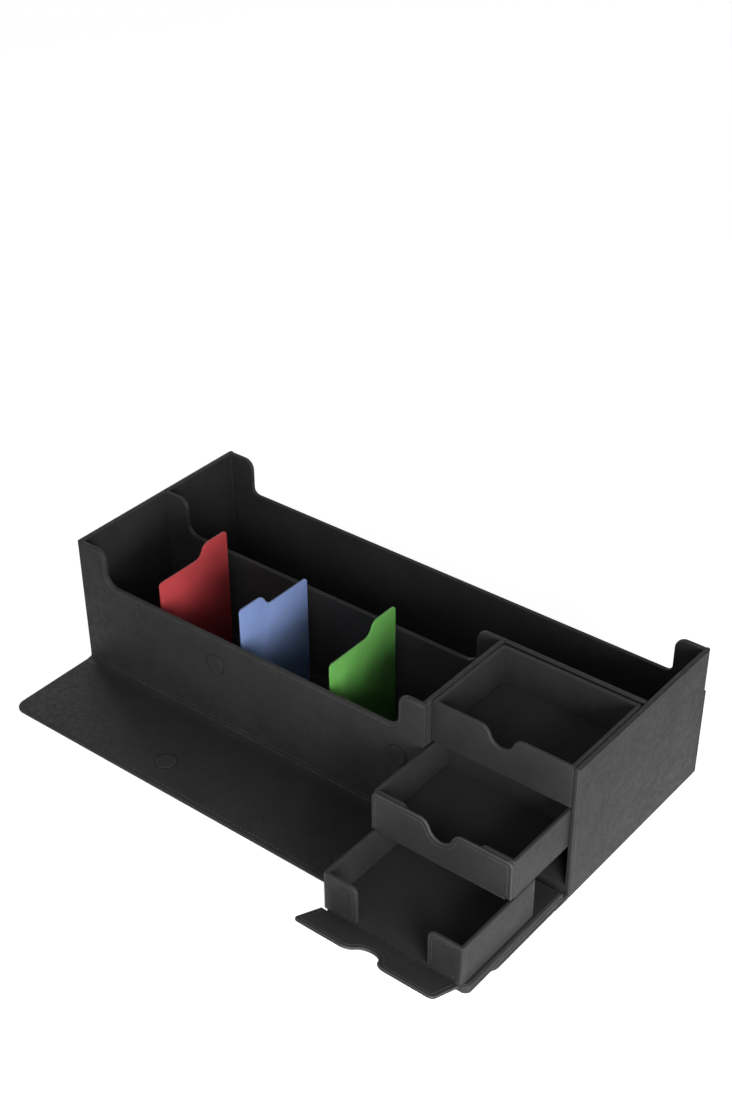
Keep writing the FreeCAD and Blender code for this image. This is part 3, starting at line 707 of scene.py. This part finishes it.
left_low, left_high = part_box("left_end_wall")
right_low, right_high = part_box("right_end_wall")
front_low, front_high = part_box("front_wall")
back_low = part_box("back_wall")[0]
base_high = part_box("base_board")[1]
tub_inside = inside((left_high.x, front_high.y, base_high.z),
                    (right_low.x, back_low.y, front_high.z - RIM))
cover(["base_board", "left_end_wall", "right_end_wall", "front_wall", "back_wall"], TUB_ROUND,
      tub_inside)
cover(["back_panel"], BOARD_ROUND)
for board in ("long_divider", "bay_side_wall"):
    low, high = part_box(board)
    cover([board], BOARD_ROUND, inside((low.x, low.y - TOUCH, low.z),
                                       (high.x, high.y + TOUCH, high.z - RIM)))
cover(["bay_floor"], FLOOR_ROUND, looks=[lining_cloth] * 3)
for board in ("drawer_shelf", "tray_shelf"):
    cover([board], SHELF_ROUND, looks=[shelf_paper] * 3)
for sheet in ("front_lining", "rear_lining", "token_tray_lining", "upper_drawer_lining",
              "lower_drawer_lining"):
    cover([sheet], SHEET_ROUND, looks=[lining_cloth] * 3)

# the covering is pressed down along the low cut-outs and beside the upright edges, and folds
# over under each end wall's rim, where the dark fold line is painted shadow
for board, way in (("front_wall", FRONT), ("back_wall", BACK)):
    outline = inset(tidy(face_outlines(board, way)[0]), way, BOARD_EDGE)
    run = above(outline, front_high.z * UPPER_SHARE)
    ridge(f"{board}_rim_seam", board, run, way, SEAM_RADIUS)
for board, way in (("left_end_wall", LEFT), ("right_end_wall", RIGHT)):
    low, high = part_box(board)
    face = low.x if way is LEFT else high.x
    for side, line in (("front", low.y + END_EDGE), ("back", high.y - END_EDGE)):
        run = [Vector((face, line, level)) for level in (high.z - END_STOP, low.z + END_STOP)]
        ridge(f"{board}_{side}_seam", board, run, way, FINE_RADIUS)
    run = [Vector((face - way.x * END_FOLD_SINK, line, high.z - END_FOLD_DROP))
           for line in (low.y + BOARD_EDGE, high.y - BOARD_EDGE)]
    ridge(f"{board}_fold", board, run, way, SEAM_RADIUS, material=fold_shadow_leather)

# ---- flap and door -----------------------------------------------------------------------

# how far from the door's front and back the fold on its side ends
DOOR_FOLD_FRONT = 4 * MM
DOOR_FOLD_BACK = 1 * MM

cover(["front_flap"], BOARD_ROUND)
cover(["bay_door"], DOOR_ROUND)
cover(["front_flap_spine"], SPINE_ROUND, looks=[cover_leather] * 3)
cover(["bay_door_hinge"], SHEET_ROUND, looks=[hinge_cloth] * 3)
seams("bay_door", "top", UP, BOARD_EDGE)
seams("bay_door", "under", DOWN, BOARD_EDGE)
door_low, door_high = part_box("bay_door")
run = [Vector((door_high.x, line, (door_low.z + door_high.z) / 2))
       for line in (door_low.y + DOOR_FOLD_FRONT, door_high.y - DOOR_FOLD_BACK)]
# the fold on the door's side is a dark line of painted shadow
ridge("bay_door_side_fold_shadow", "bay_door", run, RIGHT, FOLD_RADIUS, material=fold_shadow_leather)
border_stitches("front_flap", "top", UP)
# each pad's outer ring is dark, a painted shade at its foot
magnets("wall_magnet_pads", FRONT, PAD_PROFILE, painted_shade_rings=1)
magnets("flap_magnet_pads", UP, PAD_PROFILE, painted_shade_rings=1)


def add_hinge_web(name, left, right, line, wall_level, flap_level):
    """The covering that runs on past the spine to the flap, through points of out and up."""
    wall_face = front_low.y
    points = [Vector((0, wall_face - out * MM, level * MM)) for out, level in line]
    half = WEB_THICKNESS / 2
    rings = []
    for place in evenly([Vector((left, 0, 0)), Vector((right, 0, 0))], WEB_STEP):
        outer, inner = [], []
        for number, point in enumerate(points):
            after = points[min(number + 1, len(points) - 1)]
            before = points[max(number - 1, 0)]
            across = RIGHT.cross((after - before).normalized()) * half
            outer.append(place + point + across)
            inner.append(place + point - across)
        rings.append(outer + inner[::-1])
    web = add_piece(name, sweep(name, rings, False), [cover_leather], None,
                    slot_of_node["front_flap"])
    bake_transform(web)


web_left, web_right = left_low.x + FRONT_WEB_MARGIN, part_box("bay_side_wall")[0].x
case_left, case_right = left_low.x + WEB_MARGIN, right_high.x - WEB_MARGIN
flap_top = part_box("front_flap")[1].z
add_hinge_web("front_hinge_web", web_left, web_right, WALL_LINE, WALL_LEVEL, flap_top)
add_hinge_web("door_hinge_web", web_right, case_right, DOOR_LINE, flap_top, flap_top)
add_hinge_web("under_hinge_web", case_left, case_right, UNDER_LINE, 0, 0)
# a lighter line of painted highlight along the crease, and a dark line of painted shadow along
# the fold at the wall's foot
for name, level, painted_light in (("front_crease_highlight", CREASE_LEVEL, rim_highlight_leather),
                            ("front_fold_shadow", WALL_FOLD_LEVEL, fold_shadow_leather)):
    run = [Vector((side, front_low.y - CREASE_RADIUS, level)) for side in (web_left, web_right)]
    ridge(name, "front_flap_spine", run, FRONT, CREASE_RADIUS, material=painted_light)

# ---- drawers and tray --------------------------------------------------------------------

# a little more than the wall of a drawer, and how far over its underside its inside begins
DRAWER_WALL = 2.9 * MM
DRAWER_FLOOR = 2 * MM

for side in ("upper", "lower"):
    drawer = f"{side}_drawer"
    drop = f"{side}_drop_front"
    low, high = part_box(drawer)
    cover([drawer], DRAWER_ROUND,
          inside((low.x + DRAWER_WALL, low.y + DRAWER_WALL, low.z + DRAWER_FLOOR),
                 (high.x - DRAWER_WALL, high.y - DRAWER_WALL, high.z - RIM)))
    # the drop front's turned edges take the lighter pressed colour, a painted highlight
    board = cover([drop], DROP_ROUND, looks=[cover_leather, pressed_highlight_leather, cover_leather])
    cover([f"{side}_drop_hinge"], STRIP_ROUND, looks=[hinge_cloth] * 3)
    out = broad_way(drop, FRONT)
    seams(drop, "outer", out, BORDER, DROP_OUTER_RADIUS, closed=False)
    set_back(board, -out, CLOSING_ROOM)
    seams(drop, "inner", -out, BORDER, DROP_INNER_RADIUS, closed=False, room=CLOSING_ROOM)
    return_edges(drawer)
    seams(drawer, "left", LEFT, DRAWER_EDGE, FINE_RADIUS)
    seams(drawer, "right", RIGHT, DRAWER_EDGE, FINE_RADIUS)
    magnets(f"{side}_drawer_magnets", FRONT, STUD_PROFILE)
    magnets(f"{side}_drop_magnets", -out, STUD_PROFILE)
cover(["token_tray"], DRAWER_ROUND)

# ---- card dividers -----------------------------------------------------------------------

for colour, tint in tints.items():
    cover([f"{colour}_card_divider"], DIVIDER_ROUND, looks=[tint] * 3)

# ---- floor, light and camera -------------------------------------------------------------

def when_seen(tree, unseen, seen):
    """One value for rays from the camera, off gloss or through glass, and another for light."""
    rays = tree.nodes.new("ShaderNodeLightPath")
    total = rays.outputs["Is Camera Ray"]
    for kind in ("Is Glossy Ray", "Is Transmission Ray"):
        add = tree.nodes.new("ShaderNodeMath")
        add.operation = "MAXIMUM"
        tree.links.new(total, add.inputs[0])
        tree.links.new(rays.outputs[kind], add.inputs[1])
        total = add.outputs["Value"]
    level = tree.nodes.new("ShaderNodeMapRange")
    level.inputs["To Min"].default_value = unseen
    level.inputs["To Max"].default_value = seen
    tree.links.new(total, level.inputs["Value"])
    return level.outputs["Result"]


def add_floor():
    """A white floor that shows white to the camera and keeps a soft shadow."""
    mesh = bpy.data.meshes.new("floor")
    corners = [(x * FLOOR_REACH, y * FLOOR_REACH, 0)
               for x, y in ((-1, -1), (1, -1), (1, 1), (-1, 1))]
    mesh.from_pydata(corners, [], [(0, 1, 2, 3)])
    floor = new_object("floor", mesh)
    floor.location.z = FLOOR_LEVEL
    material, tree, shader = new_material("floor_white")
    shader.inputs["Base Color"].default_value = (*FLOOR_WHITE, 1)
    shader.inputs["Roughness"].default_value = 0.9
    shader.inputs["Specular IOR Level"].default_value = 0.1
    shader.inputs["Emission Color"].default_value = (1, 1, 1, 1)
    tree.links.new(when_seen(tree, 0, FLOOR_GLOW), shader.inputs["Emission Strength"])
    mesh.materials.append(material)


def add_world():
    """Even white surroundings, plain white to the camera and dimmer as light."""
    world = bpy.data.worlds.new("studio")
    world.use_nodes = True
    tree = world.node_tree
    background = tree.nodes["Background"]
    background.inputs["Color"].default_value = (1, 1, 1, 1)
    tree.links.new(when_seen(tree, WORLD_LIGHT, 1), background.inputs["Strength"])
    bpy.context.scene.world = world


def add_light(name, place, size, power):
    """A soft square lamp that looks at the object."""
    lamp = bpy.data.lights.new(name, "AREA")
    lamp.size = size
    lamp.energy = power
    carrier = new_object(name, lamp)
    carrier.location = place
    carrier.rotation_euler = (LIT_PLACE - Vector(place)).to_track_quat("-Z", "Y").to_euler()


def add_camera():
    """The camera at the angle of view that the box is shown from."""
    lens = bpy.data.cameras.new("camera")
    lens.sensor_fit = "HORIZONTAL"
    lens.sensor_width = SENSOR_WIDTH
    lens.lens = FOCAL_PIXELS / IMAGE_WIDTH * SENSOR_WIDTH
    lens.shift_x = CENTRE_SHIFT_X / IMAGE_WIDTH
    lens.shift_y = CENTRE_SHIFT_Y / IMAGE_WIDTH
    camera = new_object("camera", lens)
    camera.location = CAMERA_PLACE
    camera.rotation_euler = [math.radians(turn) for turn in CAMERA_TURN]
    bpy.context.scene.camera = camera


add_floor()
add_world()
for lamp in LAMPS:
    add_light(*lamp)
add_camera()
bpy.context.scene.view_settings.view_transform = "Standard"
